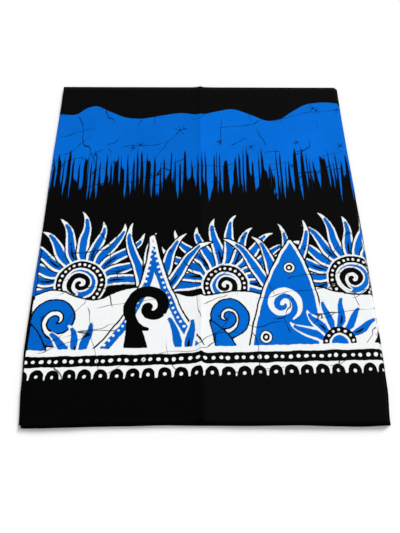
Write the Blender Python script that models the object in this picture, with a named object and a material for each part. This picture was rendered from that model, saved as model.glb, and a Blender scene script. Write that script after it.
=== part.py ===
"""A batik sarong folded into a flat packet.

The sarong is a cotton tube. It is laid flat, folded in half across its width and then in half across its
height, so the packet is a quarter of the tube wide and half of it tall, in eight layers. X runs across the
packet, +Y from the hems to the far fold, +Z up. The origin is under the packet's middle, on the surface it
lies on.
"""

import math

import bpy
from mathutils import Vector

MM = 0.001

# The garment's cut
TUBE_ROUND = 2.000
TUBE_HEIGHT = 1.200

# The packet, folded once each way, its layers slid apart a little along it
LAYER_SLIP = 1.6 * MM
HALF_WIDTH = TUBE_ROUND / 8
HALF_HEIGHT = TUBE_HEIGHT / 4 + LAYER_SLIP / 2
THICKNESS = 8.4 * MM
CLOTH = 1.2 * MM
SEAM_GAP = 0.3 * MM

# How far the packet's two sides lie outside its half width, down from the far fold
SIDE_LINES = (
    # down, left side, right side
    (0 * MM, 0.2 * MM, -2.0 * MM),
    (80 * MM, 0.6 * MM, -1.8 * MM),
    (150 * MM, 2.8 * MM, -0.7 * MM),
    (230 * MM, 3.6 * MM, 1.2 * MM),
    (320 * MM, 4.2 * MM, 3.0 * MM),
    (410 * MM, 6.9 * MM, 4.0 * MM),
    (490 * MM, 7.8 * MM, 4.6 * MM),
    (550 * MM, 5.1 * MM, 3.8 * MM),
    (600 * MM, 1.7 * MM, 0.1 * MM),
)

# How far the lower layers draw in at the near left corner, and over what length
TUCK = 2.4 * MM
TUCK_REACH = 26 * MM

# How far the near edges lie inside the packet's near end, across from left to right
NEAR_LINES = (
    # share across, front panel's hem, hidden layers' hems, waist edge
    (0.00, 4.3 * MM, 2.3 * MM, 0.9 * MM),
    (0.05, 3.3 * MM, 1.9 * MM, 0.9 * MM),
    (0.12, 4.0 * MM, 2.6 * MM, 1.6 * MM),
    (0.20, 5.7 * MM, 3.7 * MM, 2.4 * MM),
    (0.28, 6.1 * MM, 4.1 * MM, 2.8 * MM),
    (0.38, 6.7 * MM, 4.9 * MM, 3.7 * MM),
    (0.50, 6.1 * MM, 4.1 * MM, 2.8 * MM),
    (0.62, 4.6 * MM, 3.2 * MM, 2.1 * MM),
    (0.76, 3.5 * MM, 3.1 * MM, 2.5 * MM),
    (0.84, 2.9 * MM, 2.0 * MM, 1.0 * MM),
    (0.92, 2.4 * MM, 1.4 * MM, 0.0 * MM),
    (1.00, 2.6 * MM, 2.0 * MM, 1.4 * MM),
)

# The old centre crease: a ridge where the packet was once folded down its middle
CREASE_X = -4.2 * MM
CREASE_LEAN = 4.0 * MM
CREASE_HEIGHT = 2.9 * MM
CREASE_END_RISE = 0.9 * MM
CREASE_END_REACH = 60 * MM
CREASE_WIDTH_LEFT = 10.0 * MM
CREASE_WIDTH_RIGHT = 6.5 * MM
CREASE_SHARPNESS = 1.35
CREASE_PULL = 4.2 * MM

# The rolled edges of the two outer layers: reach out from the flat face, and height
FRONT_ROLL_HEIGHT = 4.2 * MM
WAIST_ROLL_HEIGHT = 3.9 * MM
WAIST_RIGHT_ROLL_HEIGHT = 2.4 * MM
ROLL_REACH = 5.0 * MM
RIGHT_ROLL_REACH = 3.6 * MM
RIGHT_STEP = 4.0 * MM
WAIST_STEP = 0.7 * MM
ROLL_STEPS = 5
ROLL_END_ANGLE = 86.0

# How square the outer layers' far corners are, from 0 round to 1 square: left, right
CORNER_SQUARE = (0.8, 0.4)
ROUND = (0.0, 0.0)

# The hem, turned up on the inside of the front panel's near edge
HEM_DEPTH = 6.5 * MM
HEM_THICKNESS = 1.0 * MM
HEM_EDGE_SETBACK = 0.3 * MM

# The hidden layers end behind their hems' line, and step down under the hem between these distances
# from its edge
INNER_SETBACK = 1.2 * MM
HEM_ROOM_START = 20.0 * MM
HEM_ROOM_FULL = 12.0 * MM

# How finely the flat stretches are divided
COLUMNS_LEFT = 9
COLUMNS_RIGHT = 9
CREASE_COLUMNS = (-2.2, -1.2, -0.6, -0.25, 0.0, 0.25, 0.6, 1.2, 2.2)
NEAR_ROWS = (0 * MM, 11 * MM, 22 * MM)
EVEN_ROWS = 18
ROWS = len(NEAR_ROWS) - 1 + EVEN_ROWS

BLACK = (0.004, 0.004, 0.004, 1.0)
HIDDEN_BLACK = (0.006, 0.006, 0.007, 1.0)
BLUE = (0.002, 0.130, 0.620, 1.0)
CLOTH_ROUGHNESS = 0.85
SHARP_ANGLE = math.radians(50)


def smooth(share):
    """Eases a share from 0 to 1."""
    share = min(max(share, 0.0), 1.0)
    return share * share * (3.0 - 2.0 * share)


def read_line(rows, at, column):
    """Reads one column of a table whose first column rises, eased between its rows."""
    if at <= rows[0][0]:
        return rows[0][column]
    for low, high in zip(rows, rows[1:]):
        if at <= high[0]:
            share = smooth((at - low[0]) / (high[0] - low[0]))
            return low[column] + share * (high[column] - low[column])
    return rows[-1][column]


def widest(column):
    return max(row[column] for row in SIDE_LINES)


# Centres the packet's box on the origin
SHIFT_X = (widest(1) - widest(2)) / 2


def left_side(y):
    return SHIFT_X - HALF_WIDTH - read_line(SIDE_LINES, HALF_HEIGHT - y, 1)


def right_side(y):
    return SHIFT_X + HALF_WIDTH + read_line(SIDE_LINES, HALF_HEIGHT - y, 2)


def share_across(x):
    return (x - SHIFT_X + HALF_WIDTH) / (2 * HALF_WIDTH)


def crease_x(y):
    """The crease leans a little to the left on its way down."""
    return SHIFT_X + CREASE_X + CREASE_LEAN * y / (2 * HALF_HEIGHT)


def crease_share(x, y):
    """1 on the crease, falling to 0 on both sides, more steeply on the right."""
    away = x - crease_x(y)
    width = CREASE_WIDTH_LEFT if away < 0 else CREASE_WIDTH_RIGHT
    return 1.0 / (1.0 + (abs(away) / width) ** CREASE_SHARPNESS) ** 2


def crease_rise(x, y):
    to_end = max(0.0, 1.0 - (HALF_HEIGHT - abs(y)) / CREASE_END_REACH)
    return crease_share(x, y) * (CREASE_HEIGHT + CREASE_END_RISE * smooth(to_end))


def near_end(x, column):
    return -HALF_HEIGHT + read_line(NEAR_LINES, share_across(x), column)


def hem_edge(x):
    """The front panel's near edge, pulled back where the crease lifts it."""
    return near_end(x, 1) + CREASE_PULL * crease_share(x, -HALF_HEIGHT)


def tuck(y):
    """How far the lower layers draw in at the left."""
    return TUCK * smooth(1.0 - (HALF_HEIGHT + y) / TUCK_REACH)


def roll_angles():
    return [math.radians(ROLL_END_ANGLE * step / ROLL_STEPS) for step in range(ROLL_STEPS + 1)]


def across_positions(low, high, y):
    """The columns of the flat stretch: even ones on both sides, close ones at the crease."""
    middle = crease_x(y)
    close = []
    for share in CREASE_COLUMNS:
        width = CREASE_WIDTH_LEFT if share < 0 else CREASE_WIDTH_RIGHT
        close.append(middle + share * width)
    near_low = close[0]
    near_high = close[-1]
    left = [low + (near_low - low) * step / COLUMNS_LEFT for step in range(COLUMNS_LEFT)]
    right = [near_high + (high - near_high) * (step + 1) / COLUMNS_RIGHT for step in range(COLUMNS_RIGHT)]
    return left + close + right


def row_y(row, near, far):
    """Rows lie close together at the near end and evenly beyond it."""
    if row < len(NEAR_ROWS):
        return near + NEAR_ROWS[row]
    first = near + NEAR_ROWS[-1]
    return first + (far - first) * min((row - len(NEAR_ROWS) + 1) / EVEN_ROWS, 1.0)


def rolled_pull(angle, hand, far_angle, square):
    """Where a point lies on the rolls' unit corner: on a ball, or drawn out towards a square corner."""
    ball = Vector((math.tan(angle) * hand, math.tan(far_angle), 1.0)).normalized()
    box = Vector((math.sin(angle) * hand, math.sin(far_angle), min(math.cos(angle), math.cos(far_angle))))
    return ball.lerp(box, square)


def rolled_sheet(level, side, sides, far, near, reaches, heights, corners, inward):
    """Grid of points of one face of a layer whose left, right and far edges roll to the packet's middle.

    level is the height of its flat stretch and side is 1 where it faces up, -1 where it faces down. sides
    gives the x of the left and right edges at a y, far the y of the far edge, and near the y of the near edge
    at an x. reaches and heights size the rolls (left, right, far), corners says how square the far corners
    are, and inward moves the face into the packet.
    """
    left_reach, right_reach, far_reach = (reach - inward for reach in reaches)
    angles = roll_angles()
    rows = []
    flat_far = far - inward - far_reach
    for row in range(ROWS + ROLL_STEPS + 1):
        far_angle = angles[row - ROWS] if row > ROWS else 0.0
        points = []
        left = sides(row_y(row, near(-HALF_WIDTH), flat_far))[0]
        right = sides(row_y(row, near(HALF_WIDTH), flat_far))[1]
        flat_left = left + inward + left_reach
        flat_right = right - inward - right_reach
        xs = across_positions(flat_left, flat_right, row_y(row, near(CREASE_X), flat_far))
        columns = [(flat_left, angle, -1) for angle in reversed(angles[1:])]
        columns += [(x, 0.0, 0) for x in xs]
        columns += [(flat_right, angle, 1) for angle in angles[1:]]
        for x, angle, hand in columns:
            y = row_y(row, near(x), flat_far)
            rise = crease_rise(x, y) if side > 0 else 0.0
            pull = rolled_pull(angle, hand, far_angle, corners[0] if hand < 0 else corners[1])
            spread = pull.x * pull.x + pull.y * pull.y
            far_share = pull.y * pull.y / spread if spread > 0 else 0.0
            side_height = heights[0] if hand < 0 else heights[1]
            height = side_height + far_share * (heights[2] - side_height) - inward
            reach = left_reach if hand < 0 else right_reach
            z = level - side * (inward + height * (1.0 - pull.z)) + rise * pull.z
            points.append(Vector((x + reach * pull.x, y + far_reach * pull.y, z)))
        rows.append(points)
    return rows


def closed_layer(name, upper, lower, rings, paint):
    """Closes two grids of the same size with a band of rings round their edges, and adds the node."""
    row_count = len(upper)
    column_count = len(upper[0])
    edge = [(0, column) for column in range(column_count)]
    edge += [(row, column_count - 1) for row in range(1, row_count)]
    edge += [(row_count - 1, column) for column in reversed(range(column_count - 1))]
    edge += [(row, 0) for row in reversed(range(1, row_count - 1))]
    points = [point for row in upper for point in row]
    lower_start = len(points)
    points += [point for row in lower for point in row]
    faces = []
    for row in range(row_count - 1):
        for column in range(column_count - 1):
            first = row * column_count + column
            quad = (first, first + 1, first + column_count + 1, first + column_count)
            faces.append(quad)
            faces.append(tuple(lower_start + index for index in reversed(quad)))
    loops = [[row * column_count + column for row, column in edge]]
    for ring in rings:
        start = len(points)
        points += [ring(row, column, upper[row][column]) for row, column in edge]
        loops.append(list(range(start, len(points))))
    loops.append([lower_start + row * column_count + column for row, column in edge])
    for high, low in zip(loops, loops[1:]):
        for step in range(len(edge)):
            following = (step + 1) % len(edge)
            faces.append((high[step], low[step], low[following], high[following]))
    mesh = bpy.data.meshes.new(name)
    mesh.from_pydata(points, [], faces)
    mesh.validate()
    mesh.shade_smooth()
    mesh.set_sharp_from_angle(angle=SHARP_ANGLE)
    mesh.materials.append(paint)
    node = bpy.data.objects.new(name, mesh)
    bpy.context.collection.objects.link(node)
    return node


def cloth_paint(name, colour):
    paint = bpy.data.materials.new(name)
    paint.use_nodes = True
    shader = paint.node_tree.nodes["Principled BSDF"]
    shader.inputs["Base Color"].default_value = colour
    shader.inputs["Roughness"].default_value = CLOTH_ROUGHNESS
    shader.inputs["Metallic"].default_value = 0.0
    return paint


def front_sides(y):
    return left_side(y), right_side(y) - RIGHT_STEP


def waist_sides(y):
    return left_side(y) + WAIST_STEP + tuck(y), right_side(y)


def front_face(inward):
    """A face of the front panel, moved in from its outer side."""
    return rolled_sheet(
        THICKNESS, 1, front_sides, HALF_HEIGHT, hem_edge,
        (ROLL_REACH, RIGHT_ROLL_REACH, ROLL_REACH),
        (FRONT_ROLL_HEIGHT, FRONT_ROLL_HEIGHT, FRONT_ROLL_HEIGHT), CORNER_SQUARE, inward)


def waist_face(inward):
    """A face of the waist panel, moved in from its underside."""
    return rolled_sheet(
        0.0, -1, waist_sides, HALF_HEIGHT - WAIST_STEP, lambda x: near_end(x, 3),
        (ROLL_REACH, RIGHT_ROLL_REACH, ROLL_REACH),
        (WAIST_ROLL_HEIGHT, WAIST_RIGHT_ROLL_HEIGHT, WAIST_ROLL_HEIGHT), CORNER_SQUARE, inward)


def front_panel():
    """The quarter of the tube that lies on top, rolled down at the left, the right and the far fold."""
    closed_layer("front_panel", front_face(0.0), front_face(CLOTH), [], cloth_paint("front cloth", BLUE))


def waist_panel():
    """The waist half of the tube, turned under at the far fold, flat where it rests."""
    closed_layer("waist_panel", waist_face(CLOTH), waist_face(0.0), [], cloth_paint("waist cloth", BLACK))


# The edge of the hidden layers, ring by ring from top to bottom. At the left and far sides it fills the
# outer layers' rolls. At the right one folded lip stands out between them. The near end steps through the
# hems that lie on each other. Reaches are counted in from the packet's outline, setbacks from the hems' line.
INNER_RINGS = (
    # plain height, plain reach, right height, right reach, near height, near setback
    (4.30 * MM, 1.60 * MM, 4.30 * MM, 5.6 * MM, 5.35 * MM, 1.0 * MM),
    (4.25 * MM, 1.70 * MM, 4.10 * MM, 5.3 * MM, 4.60 * MM, 1.0 * MM),
    (4.20 * MM, 1.80 * MM, 3.95 * MM, 3.2 * MM, 4.45 * MM, 2.2 * MM),
    (4.15 * MM, 1.90 * MM, 3.60 * MM, 2.3 * MM, 4.25 * MM, 2.2 * MM),
    (4.10 * MM, 2.00 * MM, 3.20 * MM, 2.0 * MM, 4.10 * MM, 0.3 * MM),
    (4.05 * MM, 2.10 * MM, 2.95 * MM, 2.4 * MM, 3.30 * MM, 0.3 * MM),
    (4.00 * MM, 2.15 * MM, 2.80 * MM, 3.3 * MM, 3.15 * MM, 1.9 * MM),
    (3.95 * MM, 2.20 * MM, 2.65 * MM, 5.4 * MM, 2.90 * MM, 1.9 * MM),
    (3.90 * MM, 2.25 * MM, 2.60 * MM, 5.5 * MM, 2.75 * MM, -0.6 * MM),
    (3.85 * MM, 2.30 * MM, 2.50 * MM, 5.6 * MM, 1.75 * MM, -0.6 * MM),
)


def inner_ring(ring):
    """Returns the function that places one ring of the hidden layers' edge."""
    plain_height, plain_in, right_height, right_in, near_height, near_back = ring
    last_column = 2 * ROLL_STEPS + COLUMNS_LEFT + len(CREASE_COLUMNS) + COLUMNS_RIGHT - 1
    last_row = ROWS + ROLL_STEPS

    def place(row, column, high):
        left_edge = left_side(high.y) + tuck(high.y) + plain_in
        right_edge = right_side(high.y) - right_in
        far_edge = HALF_HEIGHT - plain_in
        at_left = column == 0
        at_right = column == last_column
        if row == 0:
            from_side = min(column, last_column - column)
            to_corner = max(0.0, 1.0 - from_side / ROLL_STEPS)
            on_left = column < ROLL_STEPS
            edge_x = left_edge if on_left else right_edge
            edge_height = plain_height if on_left else right_height
            x = high.x + to_corner * (edge_x - high.x)
            z = near_height + to_corner * (edge_height - near_height)
            return Vector((x, near_end(high.x, 2) + near_back, z))
        if row <= ROWS and (at_left or at_right):
            x, z = (left_edge, plain_height) if at_left else (right_edge, right_height)
            return Vector((x, high.y, z))
        if ROLL_STEPS <= column <= last_column - ROLL_STEPS:
            return Vector((high.x, far_edge, plain_height))
        if column < ROLL_STEPS:
            x, y, _ = on_far_corner(high, left_edge + ROLL_REACH, left_side(high.y) + ROLL_REACH, far_edge)
            return Vector((x, y, plain_height))
        top_x = right_side(high.y) - RIGHT_STEP - RIGHT_ROLL_REACH
        x, y, side_share = on_far_corner(high, right_edge - ROLL_REACH, top_x, far_edge)
        return Vector((x, y, plain_height + side_share * (right_height - plain_height)))

    return place


def on_far_corner(high, middle_x, top_x, far_edge):
    """The x and y of a ring's point round a far corner, and how much it faces sideways."""
    away = Vector((high.x - top_x, high.y - (HALF_HEIGHT - ROLL_REACH))).normalized()
    return middle_x + away.x * ROLL_REACH, far_edge - ROLL_REACH + away.y * ROLL_REACH, away.x * away.x


def inner_near_edge(x):
    return near_end(x, 2) + INNER_SETBACK


def lowered_for_hem(points):
    """Steps the hidden layers' top down near the hem, which takes their room."""
    room = SEAM_GAP + HEM_THICKNESS
    for row in points:
        for point in row[ROLL_STEPS:-ROLL_STEPS]:
            reach = point.y - hem_edge(point.x)
            point.z -= room * smooth((HEM_ROOM_START - reach) / (HEM_ROOM_START - HEM_ROOM_FULL))
    return points


def inner_layers():
    """The hidden layers, pressed into one body with stepped edges."""
    depth = CLOTH + SEAM_GAP
    top = rolled_sheet(
        THICKNESS, 1, front_sides, HALF_HEIGHT, inner_near_edge,
        (ROLL_REACH, RIGHT_ROLL_REACH, ROLL_REACH),
        (FRONT_ROLL_HEIGHT, FRONT_ROLL_HEIGHT, FRONT_ROLL_HEIGHT), ROUND, depth)
    bottom = rolled_sheet(
        0.0, -1, waist_sides, HALF_HEIGHT - WAIST_STEP, inner_near_edge,
        (ROLL_REACH, RIGHT_ROLL_REACH, ROLL_REACH),
        (WAIST_ROLL_HEIGHT, WAIST_RIGHT_ROLL_HEIGHT, WAIST_ROLL_HEIGHT), ROUND, depth)
    rings = [inner_ring(ring) for ring in INNER_RINGS]
    paint = cloth_paint("hidden cloth", HIDDEN_BLACK)
    closed_layer("inner_layers", lowered_for_hem(top), bottom, rings, paint)


def hem_strip():
    """The doubled strip turned up inside the front panel's near edge, made from that panel's inner points."""
    first, second = front_face(CLOTH)[:2]
    upper = []
    lower = []
    for line in (HEM_EDGE_SETBACK, HEM_DEPTH / 2, HEM_DEPTH):
        high = []
        low = []
        for near, far in zip(first[ROLL_STEPS:-ROLL_STEPS], second[ROLL_STEPS:-ROLL_STEPS]):
            point = near.lerp(far, line / (far.y - near.y))
            point.z -= SEAM_GAP
            high.append(point)
            low.append(point - Vector((0.0, 0.0, HEM_THICKNESS)))
        upper.append(high)
        lower.append(low)
    closed_layer("hem_strip", upper, lower, [], cloth_paint("hem cloth", BLACK))


def main():
    for left_over in list(bpy.data.objects):
        bpy.data.objects.remove(left_over)
    front_panel()
    waist_panel()
    inner_layers()
    hem_strip()


main()
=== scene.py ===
"""Looks of a folded batik sarong, laid out as an add-on.

Each operator makes one piece of the packet round the fixed frame: the printed front cloth, the printed waist
cloth turned under, the hidden layers, the hem with its stitches, and the stage. Lengths are metres in the
geometry. The print is drawn in millimetres on the flat cloth: across from the packet's middle, down from the
far fold.
"""

import math

import bpy
import numpy as np
from mathutils import Matrix, Vector


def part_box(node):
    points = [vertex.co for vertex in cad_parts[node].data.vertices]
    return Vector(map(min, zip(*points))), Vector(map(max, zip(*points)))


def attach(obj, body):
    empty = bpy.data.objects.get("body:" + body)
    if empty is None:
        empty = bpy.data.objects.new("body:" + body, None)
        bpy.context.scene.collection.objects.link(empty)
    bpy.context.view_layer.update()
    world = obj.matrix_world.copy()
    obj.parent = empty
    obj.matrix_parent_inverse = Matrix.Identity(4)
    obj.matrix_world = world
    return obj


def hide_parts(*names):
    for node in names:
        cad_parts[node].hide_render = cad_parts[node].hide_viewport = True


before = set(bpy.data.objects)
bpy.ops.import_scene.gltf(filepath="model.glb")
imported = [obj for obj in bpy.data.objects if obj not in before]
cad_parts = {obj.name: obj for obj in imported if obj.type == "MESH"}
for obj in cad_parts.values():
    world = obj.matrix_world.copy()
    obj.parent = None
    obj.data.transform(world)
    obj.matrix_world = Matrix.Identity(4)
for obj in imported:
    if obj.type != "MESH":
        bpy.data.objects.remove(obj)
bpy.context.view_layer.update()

bl_info = {
    "name": "Folded batik sarong",
    "version": (1, 0, 0),
    "blender": (4, 5, 0),
    "location": "3D View > Sidebar > Sarong",
    "description": "Makes a folded wax-resist dyed sarong piece by piece",
    "category": "Object",
}

MM = 0.001
BODY = "root"
CLOTH_MAP = "cloth"

HALF_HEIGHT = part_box("front_panel")[1].y

# How far the packet's two sides lie outside its half width, down from the far fold
SIDE_LINES = np.array([
    # down, left side, right side
    (0, 0.2, -2.0),
    (80, 0.6, -1.8),
    (150, 2.8, -0.7),
    (230, 3.6, 1.2),
    (320, 4.2, 3.0),
    (410, 6.9, 4.0),
    (490, 7.8, 4.6),
    (550, 5.1, 3.8),
    (600, 1.7, 0.1),
]) * MM

# How far the lower layers draw in at the near left corner, and over what length
TUCK = 2.4 * MM
TUCK_REACH = 26 * MM

# How far the near edges lie inside the packet's near end, across from left to right
NEAR_SHARES = np.array([0.00, 0.05, 0.12, 0.20, 0.28, 0.38, 0.50, 0.62, 0.76, 0.84, 0.92, 1.00])
NEAR_LINES = np.array([
    # front panel's hem, hidden layers' hems, waist edge
    (4.3, 2.3, 0.9),
    (3.3, 1.9, 0.9),
    (4.0, 2.6, 1.6),
    (5.7, 3.7, 2.4),
    (6.1, 4.1, 2.8),
    (6.7, 4.9, 3.7),
    (6.1, 4.1, 2.8),
    (4.6, 3.2, 2.1),
    (3.5, 3.1, 2.5),
    (2.9, 2.0, 1.0),
    (2.4, 1.4, 0.0),
    (2.6, 2.0, 1.4),
]) * MM
FRONT_HEM, HIDDEN_HEMS, WAIST_EDGE = 0, 1, 2

HALF_WIDTH = 250 * MM
SHIFT_X = (SIDE_LINES[:, 1].max() - SIDE_LINES[:, 2].max()) / 2

# The old centre crease
CREASE_X = -4.2 * MM
CREASE_LEAN = 4.0 * MM
CREASE_HEIGHT = 2.9 * MM
CREASE_END_RISE = 0.9 * MM
CREASE_END_REACH = 60 * MM
CREASE_WIDTH_LEFT = 10.0 * MM
CREASE_WIDTH_RIGHT = 6.5 * MM
CREASE_SHARPNESS = 1.35
CREASE_PULL = 4.2 * MM

ROLL_END_ANGLE = math.radians(86)
FRONT_ROLL_HEIGHT = 4.2 * MM
WAIST_ROLL_HEIGHT = 3.9 * MM
WAIST_RIGHT_ROLL_HEIGHT = 2.4 * MM

# How square a layer's far corners are, left and right, from 0 round to 1 square
DRAWN_CORNERS = (0.8, 0.4)
ROUND_CORNERS = (0.0, 0.0)


class SarongFolds(bpy.types.PropertyGroup):
    """Sizes of the folded cloth."""

    thickness: bpy.props.FloatProperty(
        name="Packet thickness", description="Height of the flat face above the surface",
        default=8.4 * MM, unit="LENGTH")
    cloth: bpy.props.FloatProperty(
        name="Cloth", description="Thickness of one cloth layer as drawn", default=0.6 * MM, unit="LENGTH")
    roll_reach: bpy.props.FloatProperty(
        name="Roll reach", description="How far a rolled fold reaches out from the flat face",
        default=5.0 * MM, unit="LENGTH")
    right_reach: bpy.props.FloatProperty(
        name="Right roll reach", description="Reach of the tighter folds at the right",
        default=3.6 * MM, unit="LENGTH")
    right_step: bpy.props.FloatProperty(
        name="Right step", description="How far the front's right fold lies inside the lower folds",
        default=4.0 * MM, unit="LENGTH")
    waist_step: bpy.props.FloatProperty(
        name="Waist step", description="How far the waist cloth's folds lie inside the front's",
        default=0.7 * MM, unit="LENGTH")
    ripple: bpy.props.FloatProperty(
        name="Ripple", description="Height of the face's soft unevenness", default=0.28 * MM, unit="LENGTH")
    mesh_step: bpy.props.FloatProperty(
        name="Print step", description="Distance between mesh points where the print is drawn",
        default=1.5 * MM, unit="LENGTH")


class SarongPrint(bpy.types.PropertyGroup):
    """Colours of the dyed cloth."""

    white: bpy.props.FloatVectorProperty(
        name="Undyed", description="Cloth kept white by the wax", subtype="COLOR",
        default=(0.81, 0.83, 0.832))
    blue: bpy.props.FloatVectorProperty(
        name="Blue dye", description="First dye bath", subtype="COLOR", default=(0.0003, 0.122, 0.555))
    black: bpy.props.FloatVectorProperty(
        name="Black dye", description="Last dye bath", subtype="COLOR", default=(0.0010, 0.0010, 0.0010))
    sheen: bpy.props.FloatProperty(
        name="Sheen", description="Fuzz of the cotton", default=0.012, subtype="FACTOR")
    roughness: bpy.props.FloatProperty(
        name="Roughness", description="Roughness of the cotton", default=0.8, subtype="FACTOR")


class SarongStage(bpy.types.PropertyGroup):
    """Camera and light."""

    lens: bpy.props.FloatProperty(
        name="Lens", description="Focal length in millimetres on a 36 mm high frame", default=36.76)
    ambient: bpy.props.FloatProperty(
        name="Ambient", description="Strength of the even white light", default=0.60)
    key: bpy.props.FloatProperty(
        name="Key light", description="Strength of the soft light from behind on the right", default=2.50)


def eased(share):
    """From 0 to 1, and level at both ends."""
    share = np.clip(share, 0, 1)
    return share * share * (3 - 2 * share)


def eased_line(rows, at, column):
    """Reads a column of a table, eased between its rows."""
    index = np.clip(np.searchsorted(rows[:, 0], at, side="right") - 1, 0, len(rows) - 2)
    low, high = rows[index], rows[index + 1]
    share = eased((at - low[..., 0]) / (high[..., 0] - low[..., 0]))
    return low[..., column] + share * (high[..., column] - low[..., column])


def left_side(y):
    return SHIFT_X - HALF_WIDTH - eased_line(SIDE_LINES, HALF_HEIGHT - y, 1)


def right_side(y):
    return SHIFT_X + HALF_WIDTH + eased_line(SIDE_LINES, HALF_HEIGHT - y, 2)


def near_end(x, line):
    """The y of one of the near edges at x."""
    rows = np.column_stack([NEAR_SHARES, NEAR_LINES])
    share = (x - SHIFT_X + HALF_WIDTH) / (2 * HALF_WIDTH)
    return -HALF_HEIGHT + eased_line(rows, share, line + 1)


def crease_share(x, y):
    away = x - (SHIFT_X + CREASE_X + CREASE_LEAN * y / (2 * HALF_HEIGHT))
    width = np.where(away < 0, CREASE_WIDTH_LEFT, CREASE_WIDTH_RIGHT)
    return 1 / (1 + (np.abs(away) / width) ** CREASE_SHARPNESS) ** 2


def crease_rise(x, y):
    to_end = eased(1 - (HALF_HEIGHT - np.abs(y)) / CREASE_END_REACH)
    return crease_share(x, y) * (CREASE_HEIGHT + CREASE_END_RISE * to_end)


def crease_pull(x):
    """How far the crease, as it lifts the cloth, pulls the front's hem back."""
    return CREASE_PULL * crease_share(x, -HALF_HEIGHT)


def hem_edge(x):
    return near_end(x, FRONT_HEM) + crease_pull(x)


def tuck(y):
    return TUCK * eased(1 - (HALF_HEIGHT + y) / TUCK_REACH)


# Crossing waves: the way each runs in radians, and its share of the given length; then how far a seed turns
# and shifts them all, and how far each is shifted beside the one before
WAVE_TURNS = ((0.3, 1.0), (1.7, 0.8), (2.6, 0.7), (4.1, 0.6), (5.3, 0.5))
SEED_TURN, SEED_SHIFT, STEP_SHIFT = 0.61, 1.9, 2.3


def waves(x, y, long, seed):
    """Soft unevenness between -1 and 1, from a few crossing waves of about the given length."""
    total = 0
    for step, (turn, share) in enumerate(WAVE_TURNS):
        angle = turn + SEED_TURN * seed
        along = (x * math.cos(angle) + y * math.sin(angle)) / (long * share)
        total = total + np.sin(2 * math.pi * along + SEED_SHIFT * seed + STEP_SHIFT * step)
    return total / len(WAVE_TURNS)


def folds():
    return bpy.context.scene.sarong_folds


def front_layer():
    """What the shape functions need to know about the front cloth."""
    size = folds()
    return {
        "up": 1, "level": size.thickness,
        "left": left_side, "right": lambda y: right_side(y) - size.right_step,
        "far": HALF_HEIGHT, "near": hem_edge,
        "reaches": (size.roll_reach, size.right_reach, size.roll_reach),
        "heights": (FRONT_ROLL_HEIGHT,) * 3,
        "corners": DRAWN_CORNERS,
    }


def waist_layer():
    size = folds()
    return {
        "up": -1, "level": 0.0,
        "left": lambda y: left_side(y) + size.waist_step + tuck(y), "right": right_side,
        "far": HALF_HEIGHT - size.waist_step, "near": lambda x: near_end(x, WAIST_EDGE),
        "reaches": (size.roll_reach, size.right_reach, size.roll_reach),
        "heights": (WAIST_ROLL_HEIGHT, WAIST_RIGHT_ROLL_HEIGHT, WAIST_ROLL_HEIGHT),
        "corners": DRAWN_CORNERS,
    }


def rolled_grid(layer, inward, column_shares, row_shares, roll_steps, ripple=0.0):
    """Points of one face of a layer whose left, right and far edges roll towards the packet's middle.

    Returns the points as rows by columns by 3, and their places on the flat cloth as rows by columns by 2.
    """
    up = layer["up"]
    left_reach, right_reach, far_reach = (reach - inward for reach in layer["reaches"])
    angles = np.linspace(0, ROLL_END_ANGLE, roll_steps + 1)[1:]
    flats = len(column_shares)
    shares = np.concatenate([np.zeros(roll_steps), column_shares, np.ones(roll_steps)])
    side_angles = np.concatenate([-angles[::-1], np.zeros(flats), angles])
    far_angles = np.concatenate([np.zeros(len(row_shares)), angles])[:, None]
    downs = np.concatenate([row_shares, np.ones(roll_steps)])[:, None]
    flat_far = layer["far"] - inward - far_reach
    guess_y = -HALF_HEIGHT + downs * (flat_far + HALF_HEIGHT)
    flat_left = layer["left"](guess_y) + inward + left_reach
    flat_right = layer["right"](guess_y) - inward - right_reach
    x = flat_left + shares * (flat_right - flat_left)
    near = layer["near"](x)
    y = near + downs * (flat_far - near)
    on_left = (side_angles < 0)[None, :]
    square = np.where(on_left, *layer["corners"])
    pull_x, pull_y, pull_z = corner_pull(side_angles[None, :], far_angles, square)
    spread = np.maximum(pull_x ** 2 + pull_y ** 2, 1e-12)
    far_share = pull_y ** 2 / spread
    reach = np.where(on_left, left_reach, right_reach)
    side_height = np.where(on_left, layer["heights"][0], layer["heights"][1])
    height = side_height + far_share * (layer["heights"][2] - side_height) - inward
    z = layer["level"] - up * (inward + height * (1 - pull_z))
    pulled = 0.0
    if up > 0:
        z = z + crease_rise(x, y) * pull_z + ripple * face_ripple(x, y) * pull_z
        pulled = crease_pull(x) * (1 - downs)
    points = np.stack([x + reach * pull_x, y + far_reach * pull_y, z], axis=-1)
    arc = (reach + side_height) / 2
    cloth_x = x + arc * side_angles[None, :]
    cloth_y = y - pulled + (far_reach + layer["heights"][2]) / 2 * far_angles
    return points, np.stack([cloth_x - SHIFT_X, HALF_HEIGHT - cloth_y], axis=-1)


def corner_pull(side_angles, far_angles, square):
    """Where points lie on the rolls' unit corner: on a ball, or drawn out towards a square corner."""
    side_angles, far_angles = np.broadcast_arrays(side_angles, far_angles)
    ball = np.stack([np.tan(side_angles), np.tan(far_angles), np.ones(side_angles.shape)])
    ball = ball / np.sqrt((ball ** 2).sum(0))
    height = np.minimum(np.cos(side_angles), np.cos(far_angles))
    box = np.stack([np.sin(side_angles), np.sin(far_angles), height])
    return ball + square * (box - ball)


# Troughs in the face: length and share of the broad ones; of the narrow ones the length, how they are drawn
# out along the packet, and their share everywhere and beside the crease; how far beside it they reach
BROAD_RIPPLE, BROAD_SHARE = 0.19, 0.75
NARROW_RIPPLE, DRAWN_OUT = 0.055, 0.28
NARROW_SHARE, CREASE_RIPPLE_SHARE = 0.2, 0.45
CREASE_RIPPLE_REACH = 0.05


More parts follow.
